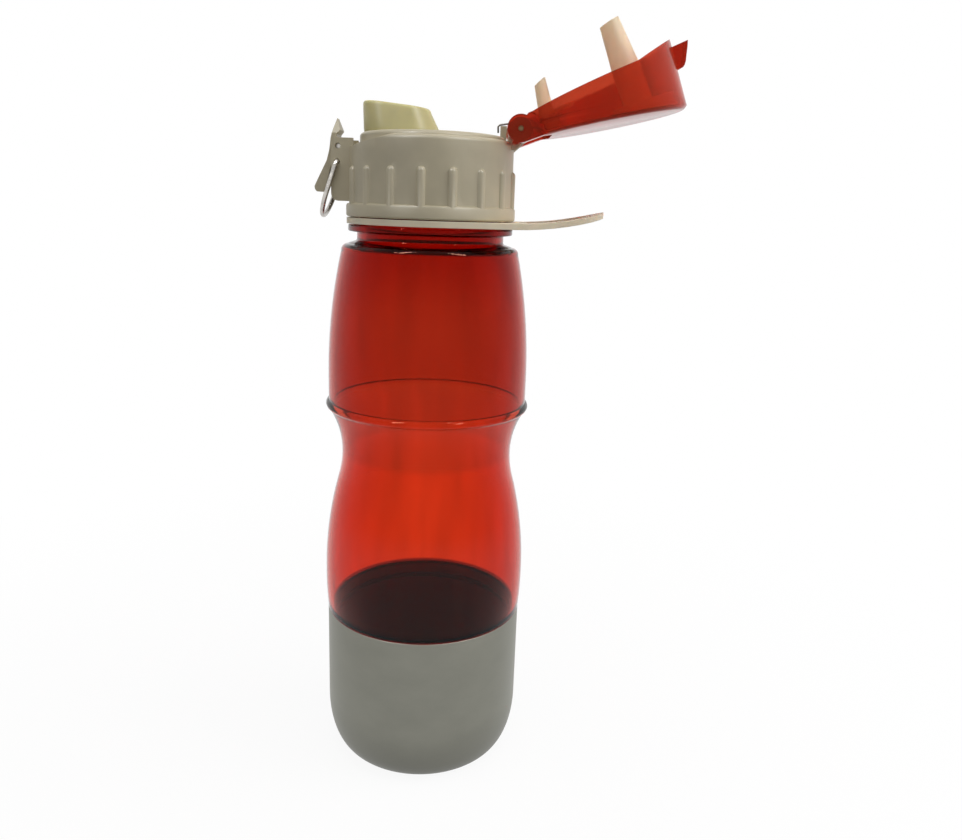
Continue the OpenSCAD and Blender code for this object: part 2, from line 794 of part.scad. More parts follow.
coil_r = 2.3;
lid_pitch = 2 * (lug_in - 0.7) / lid_turns;
curl_rings = 8;
function lid_coil() = [for (k = [0:lid_turns * curl_rings])
    let (t = 90 - 360 * k / curl_rings)
    [hinge_x + coil_r * cos(t), leg_y + lid_pitch * k / curl_rings, hinge_z + coil_r * sin(t)]];
leg_y = -lug_in + 0.7;
leg_fall = 0.16;
lid_path = concat(
    [[post_x - 0.7, leg_y, post_top - 2.2], [post_x - 0.8, leg_y, post_top - 0.2],
        [post_x - 0.2, leg_y, post_top + 0.35], [post_x + 1, leg_y, post_top + 0.5],
        [post_x + 4, leg_y, hinge_z + coil_r - 0.05]],
    lid_coil(),
    [for (x = [2, notch_l - 2, notch_l + 3])
        [hinge_x + x, lug_in - 0.6, hinge_z + coil_r - (x - 2) * leg_fall]]);

module lid_spring() {
    color("slategray")
        wire(lid_path, lid_wire_r);
}

// Latch: a lever between the cheeks, hooked at its top and pressed at its foot

lever_boss_r = 1.8;
module lever_2d() {
    difference() {
        union() {
            translate([latch_x, latch_z])
                circle(r = lever_boss_r);
            polygon([
                [-31.6, ledge_z + 5.9], [-32.5, ledge_z + 3], [-33.4, ledge_z - 0.5],
                [-33.9, ledge_z - 4.4], [-34.8, ledge_z - 7.8], [-38.6, ledge_z - 15.4],
                [-39, ledge_z - 16.3], [-38.8, ledge_z - 17.3], [-38.2, ledge_z - 18],
                [-35.9, ledge_z - 18.1], [-34.6, ledge_z - 14.6], [-33, ledge_z - 8],
                [latch_x - 1.2, latch_z - 1.2], [latch_x + 0.4, latch_z + 1.7],
                [-31.4, ledge_z - 0.6], [-31.4, ledge_z + 0.7], [-30.3, ledge_z + 1.9],
                [-30.4, ledge_z + 2.3]]);
        }
        translate([latch_x, latch_z])
            circle(r = latch_pin_r + running);
    }
}

module latch_lever() {
    color("ivory")
        intersection() {
            side_slab(-lever_half, lever_half)
                lever_2d();
            rotate([90, 0, 90])
                translate([0, 0, -wide])
                    linear_extrude(height = wide)
                        polygon([[-lever_half, 0], [lever_half, 0], [lever_half, ledge_z + 1],
                            [1.6, ledge_z + 6.2], [-1.6, ledge_z + 6.2], [-lever_half, ledge_z + 1]]);
        }
}

module latch_pin() {
    color("dimgray")
        cross_pin(latch_x, latch_z, latch_pin_r, -cheek_out + 0.6, cheek_out - 0.6);
}

latch_coil_r = 2.1;
latch_coil_x0 = -33.45;
latch_coil_x1 = -skirt_r - latch_wire_r - 0.15;
function latch_coil() = [for (k = [0:latch_turns * curl_rings])
    let (t = 360 * k / curl_rings)
    [latch_coil_x0 + (latch_coil_x1 - latch_coil_x0) * k / (latch_turns * curl_rings),
        latch_coil_r * cos(t), lever_spring_z + latch_coil_r * sin(t)]];

module latch_spring() {
    color("slategray")
        wire(latch_coil(), latch_wire_r);
}

// Wire bail: a U whose ends turn in through the cheeks
module wire_bail() {
    bend = 1.2;
    leg = bail_length - bail_half;
    color("gainsboro")
        translate([bail_x, 0, bail_z])
            rotate([0, bail_lean, 0]) {
                for (side = [-1, 1]) {
                    cross_pin(0, 0, bail_wire_r, side > 0 ? cheek_in + 0.3 : -bail_half + bend,
                        side > 0 ? bail_half - bend : -cheek_in - 0.3);
                    translate([0, side * (bail_half - bend), -bend])
                        rotate([90, 0, side * 90])
                            rotate_extrude(angle = 90)
                                translate([bend, 0])
                                    circle(r = bail_wire_r, $fn = 24);
                    translate([0, side * bail_half, -leg])
                        cylinder(r = bail_wire_r, h = leg - bend);
                }
                translate([0, 0, -leg])
                    rotate([-90, 0, 90])
                        rotate_extrude(angle = 180)
                            translate([bail_half, 0])
                                circle(r = bail_wire_r, $fn = 24);
            }
}

// Least gap of each coil to itself, measured between points a turn apart or more
function coil_gap(points, r) = min([for (i = [0:len(points) - 1], j = [i + curl_rings - 2:1:len(points) - 1])
    norm(points[i] - points[j])]) - 2 * r;
echo(lid_spring_gap = coil_gap(lid_coil(), lid_wire_r));
echo(latch_spring_gap = coil_gap(latch_coil(), latch_wire_r));

steel_base_cup();
bottle_body();
base_grip_ring();
carry_ring();
cap_shell();
cap_gasket();
spout();
lid_shell();
spout_stopper();
vent_stopper();
hinge_pin();
lid_spring();
latch_lever();
latch_pin();
latch_spring();
wire_bail();
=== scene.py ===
"""A travel water bottle with a steel drinking cup under it and a flip lid.

Its surfaces, finishes, stage and camera. Shapes are worked out in millimetres and written to the
meshes in metres. +Z is up and the camera looks along +Y.
"""
import math

import bmesh
import bpy
import numpy as np
from mathutils import Euler, Matrix, Vector


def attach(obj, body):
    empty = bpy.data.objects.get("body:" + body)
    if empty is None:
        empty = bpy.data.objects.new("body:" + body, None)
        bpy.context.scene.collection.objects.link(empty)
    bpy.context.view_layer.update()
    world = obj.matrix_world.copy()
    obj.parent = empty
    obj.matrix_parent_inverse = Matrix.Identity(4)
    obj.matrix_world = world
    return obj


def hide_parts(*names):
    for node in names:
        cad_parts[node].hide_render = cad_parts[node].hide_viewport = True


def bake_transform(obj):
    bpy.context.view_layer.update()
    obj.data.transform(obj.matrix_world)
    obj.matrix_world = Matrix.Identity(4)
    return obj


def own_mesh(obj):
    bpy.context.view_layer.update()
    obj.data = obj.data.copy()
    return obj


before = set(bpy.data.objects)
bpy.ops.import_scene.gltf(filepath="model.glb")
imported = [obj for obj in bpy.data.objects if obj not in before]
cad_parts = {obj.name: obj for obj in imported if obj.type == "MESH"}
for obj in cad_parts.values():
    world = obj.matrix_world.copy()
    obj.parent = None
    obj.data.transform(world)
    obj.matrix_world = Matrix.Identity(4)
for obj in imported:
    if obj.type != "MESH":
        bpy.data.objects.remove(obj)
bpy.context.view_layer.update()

bl_info = {
    "name": "Travel Water Bottle",
    "version": (1, 0, 0),
    "blender": (4, 5, 0),
    "location": "View3D > Sidebar > Bottle",
    "description": "Builds a travel water bottle with a steel drinking cup and a flip lid",
    "category": "Add Mesh",
}

MM = 0.001


def tint(red, green, blue):
    """The linear colour of an 8-bit display colour."""
    c = np.array([red, green, blue]) / 255
    linear = np.where(c < 0.04045, c / 12.92, ((c + 0.055) / 1.055) ** 2.4)
    return tuple(float(v) for v in linear)


# ---------------------------------------------------------------- sizes and colours


def length(name, description, default):
    """A length property, given in millimetres and kept in metres."""
    return bpy.props.FloatProperty(
        name=name, description=description, default=default * MM, min=0.0, precision=5,
        unit="LENGTH")


def colour(name, description, *rgb):
    """A colour property, given as a display colour."""
    return bpy.props.FloatVectorProperty(
        name=name, description=description, default=tint(*rgb), size=3, min=0.0, max=1.0,
        subtype="COLOR")


class BottleSizes(bpy.types.PropertyGroup):
    """Sizes of the cup, the body and the cap."""

    cup_r: length("Cup radius", "Outer radius of the steel cup", 36.1)
    cup_h: length("Cup height", "Height of the steel cup", 57)
    cup_wall: length("Cup sheet", "Sheet thickness of the steel cup", 0.8)
    body_wall: length("Body wall", "Wall of the moulded body", 1.8)
    bulge_r: length("Bulge radius", "Largest radius of the body", 36.75)
    waist_r: length("Waist radius", "Radius of the waist", 30.6)
    waist_z: length("Waist height", "Height of the waist", 117)
    chest_r: length("Upper radius", "Radius of the straight upper body", 35.25)
    bead_z: length("Bead height", "Height of the bead round the body", 134.6)
    bead_proud: length("Bead size", "How far the bead stands proud", 0.95)
    shoulder_z: length("Shoulder height", "Height of the shoulder's top", 190.2)
    neck_r: length("Neck radius", "Outer radius of the neck under its thread", 24.3)
    neck_bore_r: length("Neck bore", "Inner radius of the neck", 22.3)
    flange_r: length("Flange radius", "Radius of the flange under the strap ring", 28.2)
    thread_pitch: length("Thread pitch", "Rise of the cap's thread in a turn", 5)
    thread_depth: length("Thread depth", "How far the thread stands proud", 1.1)
    wire_r: length("Bail wire", "Radius of the bail's wire", 0.8)


class BottleFinish(bpy.types.PropertyGroup):
    """Colours of the finishes."""

    body_low: colour("Body below", "Clear body below the waist", 238, 155, 112)
    # painted reflection: the clear body is lighter from the waist to the bead
    body_waist_reflection: colour("Body waist", "Clear body from the waist to the bead", 220, 151, 122)
    body_chest: colour("Body chest", "Clear body above the bead", 208, 133, 102)
    # painted shade: the clear body is darkened near the shoulder, under the cap
    body_shoulder_shade: colour("Body above", "Clear body near the shoulder", 195, 92, 56)
    # painted shade: a dark band on the clear body where it meets the cup's rim
    body_rim_shade: colour("Body joint", "Clear body where it meets the cup's rim", 90, 30, 24)
    lid: colour("Lid", "Clear lid", 214, 92, 60)
    cap: colour("Cap", "Moulded cap and latch", 189, 179, 152)
    strap: colour("Strap", "Strap ring", 244, 232, 206)
    spout: colour("Mouthpiece", "Soft mouthpiece", 204, 197, 144)
    stopper: colour("Stoppers", "Stoppers in the lid", 252, 232, 202)
    steel: colour("Steel", "Sheet of the cup", 132, 132, 122)
    wire: colour("Wire", "Bail and latch pin", 190, 186, 180)
    brass: colour("Brass", "Hinge pin", 100, 80, 58)
    floor: colour("Floor", "Floor as light on the object sees it", 165, 165, 165)


# Details in millimetres that stay as they are when a size above changes.
CORNER_IN, CORNER_UP = 8.5, 20  # how far the cup's rounded corner reaches inwards and upwards
FLANGE_RISE, FLANGE_THICK = 4.1, 2.2  # the flange above the shoulder
NECK_RISE = 21.6  # the neck's lip above the flange
DECK_RISE = 8.2  # the cap's deck above the neck's lip
THREAD_START = 2.5  # the neck's thread above the flange
CAP_BORE = 26.1  # radius of the cap's bore
PIN_R = 0.9  # radius of the pins of the hinge and the latch
HINGE = (29.2, 228.5)  # x and z of the hinge pin
LATCH = (-30.7, 221.6)  # x and z of the latch pin
LATCH_COIL = (-33.45, -28.15, 211.2)  # the latch's spring: x of its ends, and z
BAIL = (-31.0, 216.55)  # x and z of the bail's ends


def sizes():
    """The scene's sizes."""
    return bpy.context.scene.bottle_sizes


def finish():
    """The scene's colours."""
    return bpy.context.scene.bottle_finish


def mm(value):
    """A length in metres, in millimetres."""
    return value / MM


# ---------------------------------------------------------------- curves


def oval_arc(cx, cy, rx, ry, a0, a1, n):
    """Points on an ellipse about (cx, cy), from angle a0 to angle a1 in degrees."""
    a = np.radians(np.linspace(a0, a1, n + 1))
    return np.stack([cx + rx * np.cos(a), cy + ry * np.sin(a)], -1)


def arc(cx, cy, r, a0, a1, n):
    """Points on a circle about (cx, cy), from angle a0 to angle a1 in degrees."""
    return oval_arc(cx, cy, r, r, a0, a1, n)


def bow_radius(half, rise):
    """Radius of the arc over a chord of twice that half length, with that rise."""
    return (half * half + rise * rise) / (2 * rise)


def turn_of(side, radius):
    """The angle in degrees whose sine is side / radius."""
    return math.degrees(math.asin(side / radius))


def eased(points, cut, steps=4, loop=False):
    """A polyline whose corners over 12 degrees become quadratic curves.

    Each such corner p is cut back by at most `cut` along both edges, to a and b, and replaced by
    (1 - t)^2 a + 2 t (1 - t) p + t^2 b.
    """
    p = np.asarray(points, float)
    back, on = np.roll(p, 1, 0) - p, np.roll(p, -1, 0) - p
    lb = np.maximum(np.linalg.norm(back, axis=1), 1e-9)
    lo = np.maximum(np.linalg.norm(on, axis=1), 1e-9)
    back, on = back / lb[:, None], on / lo[:, None]
    sharp = np.sum(-back * on, 1) < math.cos(math.radians(12))
    if not loop:
        sharp[[0, -1]] = False
    d = np.where(sharp, np.minimum(cut, 0.45 * np.minimum(lb, lo)), 0)[:, None]
    t = np.linspace(0, 1, steps + 1)[None, :, None]
    a, b, c = (p + back * d)[:, None], (p + on * d)[:, None], p[:, None]
    curve = (1 - t) ** 2 * a + 2 * t * (1 - t) * c + t * t * b
    keep = sharp[:, None] | (np.arange(steps + 1)[None, :] == 0)
    return curve[keep]


def spaced(points, step):
    """The same polyline with extra points, so that no edge is much longer than `step`."""
    p = np.asarray(points, float)
    run = np.r_[0, np.cumsum(np.linalg.norm(np.diff(p, axis=0), axis=1))]
    more = np.unique(np.r_[run, np.arange(0, run[-1], step)])
    more = more[np.r_[True, np.diff(more) > step * 0.2]]
    return np.stack([np.interp(more, run, p[:, k]) for k in range(p.shape[1])], -1)


# ---------------------------------------------------------------- surfaces


def surface(name, grid, loop_rows=False, crease=38):
    """A mesh from a grid of points whose columns run round. Points that coincide are joined."""
    rows, cols = grid.shape[:2]
    index = np.arange(rows * cols).reshape(rows, cols)
    if loop_rows:
        index = np.vstack([index, index[:1]])
    index = np.hstack([index, index[:, :1]])
    quads = np.stack([index[:-1, :-1], index[:-1, 1:], index[1:, 1:], index[1:, :-1]], -1)
    mesh = bpy.data.meshes.new(name)
    mesh.from_pydata((grid.reshape(-1, 3) * MM).tolist(), [], quads.reshape(-1, 4).tolist())
    bm = bmesh.new()
    bm.from_mesh(mesh)
    bmesh.ops.remove_doubles(bm, verts=bm.verts, dist=1e-7)
    bmesh.ops.recalc_face_normals(bm, faces=bm.faces)
    return shown(name, mesh, bm, crease)


def shown(name, mesh, bm, crease):
    """Writes the edited mesh, shades it smooth except at creases, and links the object."""
    bm.to_mesh(mesh)
    bm.free()
    mesh.shade_smooth()
    mesh.set_sharp_from_angle(angle=math.radians(crease))
    mesh.update()
    obj = bpy.data.objects.new(name, mesh)
    bpy.context.scene.collection.objects.link(obj)
    return obj


def revolved(name, profile, around=192, loop=False, ripple=None, crease=38):
    """A profile of (radius, height) turned about Z.

    ripple(angle, height, radius) is added to the radius.
    """
    r, z = np.asarray(profile, float).T
    t = np.linspace(0, 2 * math.pi, around, endpoint=False)[None, :]
    radius = r[:, None] + (ripple(t, z[:, None], r[:, None]) if ripple else 0 * t)
    grid = np.stack([radius * np.cos(t), radius * np.sin(t), z[:, None] + 0 * t], -1)
    return surface(name, grid, loop_rows=loop, crease=crease)


def tube(name, path, radius, sides=12, across=(0, 1, 0), rounded=False):
    """A round wire along a path: circles square to the path, closed at both ends.

    `across` is a direction that the path never runs along, from which the circles are laid out.
    """
    p = np.asarray(path, float)
    d = np.gradient(p, axis=0)
    d /= np.linalg.norm(d, axis=1)[:, None]
    u = np.cross(d, np.asarray(across, float))
    u /= np.linalg.norm(u, axis=1)[:, None]
    v = np.cross(d, u)
    shrink = np.array([0, 0.7, 1.0]) if rounded else np.array([0, 0.92, 1.0])
    reach = radius * (np.array([0.55, 0.35, 0]) if rounded else np.array([0, 0, -0.08]))
    at = np.r_[[0] * 3, np.arange(1, len(p) - 1), [len(p) - 1] * 3]
    scale = np.r_[shrink, np.ones(len(p) - 2), shrink[::-1]]
    along = np.r_[-reach, np.zeros(len(p) - 2), reach[::-1]]
    t = np.linspace(0, 2 * math.pi, sides, endpoint=False)[None, :, None]
    ring = np.cos(t) * u[at][:, None] + np.sin(t) * v[at][:, None]
    middle = p[at][:, None] + d[at][:, None] * along[:, None, None]
    return surface(name, middle + radius * scale[:, None, None] * ring, crease=50)


def rod(name, x, z, radius, half):
    """A pin along Y, from -half to half: circles along a line, with a rounded edge at each end."""
    profile = eased([(0, -half), (radius, -half), (radius, half), (0, half)], 0.2)
    t = np.linspace(0, 2 * math.pi, 40, endpoint=False)[None, :]
    r, y = profile[:, :1], profile[:, 1:]
    return surface(name, np.stack([x + r * np.cos(t), y + 0 * t, z + r * np.sin(t)], -1))


def refined(name, node, edge, segments=3):
    """A copy of a CAD solid with its triangles joined, its flat faces whole and edges rounded."""
    crease = 30
    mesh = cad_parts[node].data.copy()
    mesh.materials.clear()
    bm = bmesh.new()
    bm.from_mesh(mesh)
    bmesh.ops.remove_doubles(bm, verts=bm.verts, dist=2e-6)
    bmesh.ops.dissolve_limit(bm, angle_limit=math.radians(0.2), use_dissolve_boundaries=False,
                             verts=bm.verts, edges=bm.edges)
    obj = shown(name, mesh, bm, crease)
    bevel = obj.modifiers.new("Edge", "BEVEL")
    bevel.width = edge * MM
    bevel.segments = segments
    bevel.limit_method = "ANGLE"
    bevel.angle_limit = math.radians(crease)
    bevel.harden_normals = True
    return obj


def settle(obj, node, look, body=None):
    """Gives a piece its finish and its body, and lets it stand for its CAD node."""
    obj.data.materials.clear()
    obj.data.materials.append(look)
    if node:
        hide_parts(node)
    if body:
        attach(obj, body)
    return obj


# ---------------------------------------------------------------- finishes

PRINCIPLED = "Principled BSDF"
PLAIN_GLOSS, WARM_GLOSS = (1.0, 1.0, 1.0), (0.9, 0.35, 0.25)  # tints of clear plastic's gloss
CLEAR_DEPTH, CLEAR_DENSITY = (0.88, 0.25, 0.1), 500  # what clear plastic takes out of light


def graph(owner):
    """The nodes and links of a material or world."""
    return owner.node_tree.nodes, owner.node_tree.links


def feed(look, socket, name):
    """Runs a socket into the named input of a material's shader."""
    nodes, links = graph(look)
    links.new(socket, nodes[PRINCIPLED].inputs[name])


def principled(name, base, **values):
    """A material with one Principled shader. Underscores in the names of values are spaces."""
    look = bpy.data.materials.get(name) or bpy.data.materials.new(name)
    look.use_nodes = True
    shader = look.node_tree.nodes[PRINCIPLED]
    shader.inputs["Base Color"].default_value = (*base, 1)
    for key, value in values.items():
        shader.inputs[key.replace("_", " ")].default_value = value
    return look


def noise(look, scale, stretch=(1, 1, 1), **values):
    """Noise on the object's own coordinates. Returns the socket of its value."""
    nodes, links = graph(look)
    where = nodes.new("ShaderNodeTexCoord")
    mapping = nodes.new("ShaderNodeMapping")
    mapping.inputs["Scale"].default_value = stretch
    texture = nodes.new("ShaderNodeTexNoise")
    texture.inputs["Scale"].default_value = scale
    for key, value in values.items():
        texture.inputs[key].default_value = value
    links.new(where.outputs["Object"], mapping.inputs["Vector"])
    links.new(mapping.outputs["Vector"], texture.inputs["Vector"])
    return texture.outputs[0]


def mottle(look, value, dark, light):
    """The value, from 0.35 to 0.65, runs the base colour from dark to light."""
    nodes, links = graph(look)
    ramp = nodes.new("ShaderNodeValToRGB")
    for point, position, rgb in zip(ramp.color_ramp.elements, (0.35, 0.65), (dark, light)):
        point.position, point.color = position, (*rgb, 1)
    links.new(value, ramp.inputs["Fac"])
    feed(look, ramp.outputs["Color"], "Base Color")


def spread(look, value, low, high):
    """The value's middle range, from 0.3 to 0.7, carried over to low to high. Returns a socket."""
    nodes, links = graph(look)
    level = nodes.new("ShaderNodeMapRange")
    level.inputs["From Min"].default_value, level.inputs["From Max"].default_value = 0.3, 0.7
    level.inputs["To Min"].default_value, level.inputs["To Max"].default_value = low, high
    links.new(value, level.inputs["Value"])
    return level.outputs["Result"]


def streaked(look, rgb, value, low, high):
    """The base colour is the socket rgb, scaled by the value from low to high."""
    nodes, links = graph(look)
    scale = nodes.new("ShaderNodeVectorMath")
    scale.operation = "SCALE"
    links.new(rgb, scale.inputs[0])
    links.new(spread(look, value, low, high), scale.inputs["Scale"])
    feed(look, scale.outputs[0], "Base Color")


def relief(look, value, strength, distance):
    """The value raises the surface by up to `distance` millimetres."""
    nodes, links = graph(look)
    bump = nodes.new("ShaderNodeBump")
    bump.inputs["Strength"].default_value = strength
    bump.inputs["Distance"].default_value = distance * MM
    links.new(value, bump.inputs["Height"])
    feed(look, bump.outputs["Normal"], "Normal")


def shade(rgb, k):
    """The colour times k, held to 1."""
    return tuple(min(1.0, c * k) for c in rgb)


def by_height(look, stops):
    """A colour that changes with height, from stops of (millimetres, colour). Returns a socket."""
    nodes, links = graph(look)
    z0, z1 = stops[0][0], stops[-1][0]
    where = nodes.new("ShaderNodeTexCoord")
    split = nodes.new("ShaderNodeSeparateXYZ")
    level = nodes.new("ShaderNodeMapRange")
    level.inputs["From Min"].default_value = z0 * MM
    level.inputs["From Max"].default_value = z1 * MM
    ramp = nodes.new("ShaderNodeValToRGB")
    points = ramp.color_ramp.elements
    for z, _ in stops[1:-1]:
        points.new((z - z0) / (z1 - z0))
    for point, (_, rgb) in zip(sorted(points, key=lambda e: e.position), stops):
        point.color = (*rgb, 1)
    links.new(where.outputs["Object"], split.inputs["Vector"])
    links.new(split.outputs["Z"], level.inputs["Value"])
    links.new(level.outputs["Result"], ramp.inputs["Fac"])
    return ramp.outputs["Color"]


def clear_plastic(name, stops, gloss, haze=0.0, roughness=0.03, ior=1.25):
    """Clear coloured plastic, deeper where it is thick, with haze, and streaks that are partly the
    moulding's and partly painted reflections.
    """
    look = principled(
        name, stops[0][1], Transmission_Weight=1 - haze, Roughness=roughness, IOR=ior)
    feed(look, by_height(look, gloss), "Specular Tint")
    # partly painted reflection: vertical streaks of tone stand in for reflected streaks as well as
    # the moulding's
    streaked(look, by_height(look, stops), noise(look, 110, (1, 1, 0.16), Detail=3.0), 0.9, 1.08)
    nodes, links = graph(look)
    depth = nodes.new("ShaderNodeVolumeAbsorption")
    depth.inputs["Color"].default_value = (*CLEAR_DEPTH, 1)
    depth.inputs["Density"].default_value = CLEAR_DENSITY
    links.new(depth.outputs[0], nodes["Material Output"].inputs["Volume"])
    relief(look, noise(look, 60, (1, 1, 0.4), Detail=1.0), 0.12, 0.35)
    return look


def moulded_plastic(name, base, roughness=0.42, subsurface=0.06, through=0.0):
    """Moulded plastic: satin, with a fine grain and slight unevenness of colour and gloss."""
    look = principled(
        name, base, Roughness=roughness, IOR=1.49, Transmission_Weight=through,
        Subsurface_Weight=subsurface, Subsurface_Radius=(0.004, 0.003, 0.002),
        Subsurface_Scale=0.3)
    cloud = noise(look, 90, Detail=3.0)
    mottle(look, cloud, shade(base, 0.94), shade(base, 1.03))
    feed(look, spread(look, cloud, roughness - 0.05, roughness + 0.07), "Roughness")
    relief(look, noise(look, 2600, Detail=2.0), 0.12, 0.02)
    return look


def soft_silicone(name, base, roughness=0.5, subsurface=0.5, through=0.0):
    """Soft silicone: light passes some way into it, and its skin is matt with a fine grain."""
    look = principled(
        name, base, Roughness=roughness, IOR=1.41, Transmission_Weight=through,
        Subsurface_Weight=subsurface, Subsurface_Radius=(0.006, 0.005, 0.003),
        Subsurface_Scale=0.8)
    mottle(look, noise(look, 120, Detail=2.0), shade(base, 0.93), shade(base, 1.04))
    relief(look, noise(look, 1800, Detail=2.0), 0.1, 0.02)
    return look


def satin_steel(name, base, foot, height):
    """Satin steel sheet: fine lines round the cup and cloudy patches, with painted shade deepening
    below `foot`.
    """
    look = principled(name, base, Metallic=0.7, Roughness=0.4)
    cloud = noise(look, 55, (1, 1, 1.6), Detail=5.0, Roughness=0.6)
    # painted shade: the steel is darkened towards the bottom, up to the height `foot`, standing in
    # for the dark floor it mirrors at its contact
    foot_shade = by_height(look, [(0, shade(base, 0.6)), (foot, base), (height, base)])
    streaked(look, foot_shade, cloud, 0.93, 1.05)
    feed(look, spread(look, cloud, 0.38, 0.46), "Roughness")
    relief(look, noise(look, 220, (1, 1, 24), Detail=3.0), 0.25, 0.03)
    return look


def drawn_wire(name, base, roughness=0.25):
    """Drawn metal wire with faint lines and dull spots."""
    look = principled(name, base, Metallic=1.0, Roughness=roughness)
    cloud = noise(look, 500, Detail=3.0)
    mottle(look, cloud, shade(base, 0.8), shade(base, 1.05))
    feed(look, spread(look, cloud, roughness - 0.06, roughness + 0.12), "Roughness")
    return look


# ---------------------------------------------------------------- pieces


def body_side(s):
    """The body's side from the cup's rim to the shoulder: six arcs that run into each other.

    The arcs' radii follow from the sizes at the cup, the bulge, the waist, the bead and the chest.
    Returns the points, and the shoulder's rounding: the radius and the height of its centre, its
    own radius and the angle at which the side meets it.
    """
    cup_r, cup_h = mm(s.cup_r), mm(s.cup_h)
    bulge_r, waist_r, chest_r = mm(s.bulge_r), mm(s.waist_r), mm(s.chest_r)
    waist_z, bead_z, proud = mm(s.waist_z), mm(s.bead_z), mm(s.bead_proud)
    low_z, high_z = cup_h + 13, cup_h + 15  # the bulge is straight between these
    waist_arc, chest_arc, bead_half, ease = 36, 198, 1.3, 2.4
    low_arc = bow_radius(low_z - cup_h, bulge_r - cup_r)
    both = bow_radius(waist_z - high_z, bulge_r - waist_r)
    bulge_arc = both - waist_arc
    blend_z = high_z + (waist_z - high_z) * bulge_arc / both
    bead_arc = bow_radius(bead_half, proud)
    bead_turn = turn_of(bead_half, bead_arc)
    rise = bead_z - bead_half - waist_z
    rise_arc = bow_radius(rise, chest_r - waist_r)
    chest_z, top_z = bead_z + 10.4, mm(s.shoulder_z) - ease
    end = turn_of(top_z - chest_z, chest_arc)
    side = np.vstack([
        arc(bulge_r - low_arc, low_z, low_arc, -turn_of(low_z - cup_h, low_arc), 0, 10),
        arc(bulge_r - bulge_arc, high_z, bulge_arc, 0, turn_of(blend_z - high_z, bulge_arc), 26),
        arc(waist_r + waist_arc, waist_z, waist_arc,
            179 + turn_of(waist_z - blend_z, waist_arc), 180, 14),
        arc(waist_r + rise_arc, waist_z, rise_arc, 179, 181 - turn_of(rise, rise_arc), 22),
        arc(chest_r + proud - bead_arc, bead_z, bead_arc, -bead_turn, bead_turn, 14),
        arc(chest_r - chest_arc, chest_z, chest_arc, 0, end, 26),
    ])
    edge = chest_r - chest_arc + (chest_arc - ease) * math.cos(math.radians(end))
    return side, edge, top_z, ease, end


def thread_ripple(s, z0, z1):
    """A right-handed thread as a change of radius: a ridge where height and angle are in step.

    u is the distance from the nearest turn, in pitches, and the ridge is smoothstep of
    1.7 (1 - u / 0.2), faded over the last third of a pitch at z0 and z1.
    """
    pitch, depth = mm(s.thread_pitch), mm(s.thread_depth)

    def ripple(angle, z):
        u = (z - z0) / pitch - angle / (2 * math.pi)
        u = np.abs(u - np.round(u))
        ridge = np.clip(1.7 * (1 - u / 0.2), 0, 1)
        run_out = 0.35 * pitch
        fade = np.clip((z - z0) / run_out, 0, 1) * np.clip((z1 - z) / run_out, 0, 1)
        return depth * ridge * ridge * (3 - 2 * ridge) * fade

    return ripple


def neck_levels(s):
    """Heights of the flange's underside, of its top and of the neck's lip."""
    flange_z = mm(s.shoulder_z) + FLANGE_RISE
    flange_top = flange_z + FLANGE_THICK
    return flange_z, flange_top, flange_top + NECK_RISE


def make_body(s):
    """One closed surface: the outer side up over the neck's lip and down the inner side."""
    side, edge, top_z, ease, end = body_side(s)
    cup_r, cup_h, sheet, wall = mm(s.cup_r), mm(s.cup_h), mm(s.cup_wall), mm(s.body_wall)
    flange_z, flange_top, neck_top = neck_levels(s)
    neck_r, bore, flange = mm(s.neck_r), mm(s.neck_bore_r), mm(s.flange_r)
    shoulder = mm(s.shoulder_z)
    gap = 0.45  # between the nested end and the cup
    under = neck_r + 0.9  # the neck's radius under the flange
    nest_x = cup_r - CORNER_IN
    nest_r = cup_r - sheet - gap

    def nest(d):
        """The nested end, d inside the cup's sheet: a dome that rises 3, and the cup's corner."""
        half, rise = nest_x - 3.6, 3
        bow = bow_radius(half, rise)
        dome = arc(0, sheet + d + rise - bow, bow, 90 - turn_of(half, bow), 90, 18)[::-1]
        dome[0, 0] = 0
        inside = sheet + d
        corner = oval_arc(nest_x, CORNER_UP, CORNER_IN - inside, CORNER_UP - inside, -90, 0, 18)
        return np.vstack([dome, corner])

    collar = eased([
        (edge + 1.2, top_z + ease), (under + 2.6, shoulder + 0.3), (under, shoulder + 1.1),
        (under, flange_z), (flange, flange_z), (flange, flange_top), (neck_r, flange_top),
        (neck_r, flange_top + 2)], 0.6)
    rows = np.arange(flange_top + 2, neck_top - 1.4, 0.25)
    barrel = np.stack([np.full(len(rows), neck_r), rows], -1)
    low = neck_top - 1.2
    lip = eased([(neck_r, low), (neck_r, neck_top), (bore, neck_top), (bore, low)], 0.6)
    outer = np.vstack([
        eased(np.vstack([nest(gap), [(nest_r, cup_h)], side[:1]]), 0.15), side[1:],
        arc(edge, top_z, ease, end + 4, 90, 10), collar[1:-1], barrel, lip])
    inner = np.vstack([
        nest(gap + wall), [(nest_r - wall, cup_h - 6)],
        eased([(nest_r - wall, cup_h - 5), (nest_r - wall, cup_h - 3), side[1] - (wall, 0)], 1.5),
        side[2:] - (wall, 0), arc(edge, top_z, ease - wall, end + 4, 90, 4),
        eased([(edge - 1, shoulder - wall), (bore + 1, shoulder - wall + 0.3),
               (bore, shoulder - wall + 1.3), (bore, shoulder + 6)], 0.8)])
    profile = np.vstack([outer, inner[::-1]])
    profile[[0, -1], 0] = 0
    screw = thread_ripple(s, flange_top + THREAD_START, neck_top - 2.2)

    def ripple(t, z, r):
        return np.where((r > neck_r - 0.05) & (z > flange_top + 1), screw(t, z), 0)

    return revolved("clear_body", profile, ripple=ripple, crease=45)


def make_grip_band():
    """The ring that holds the cup: a band with bevelled outer edges, turned about Z."""
    r0, r1, z0, z1, bevel, drop = 34.0, 35.2, 50.05, 52.15, 0.4, 0.55
    outline = [(r0, z0), (r1 - bevel, z0), (r1, z0 + drop), (r1, z1 - drop), (r1 - bevel, z1),
               (r0, z1)]
    return revolved("grip_band", eased(outline, 0.3, loop=True), 144, loop=True)


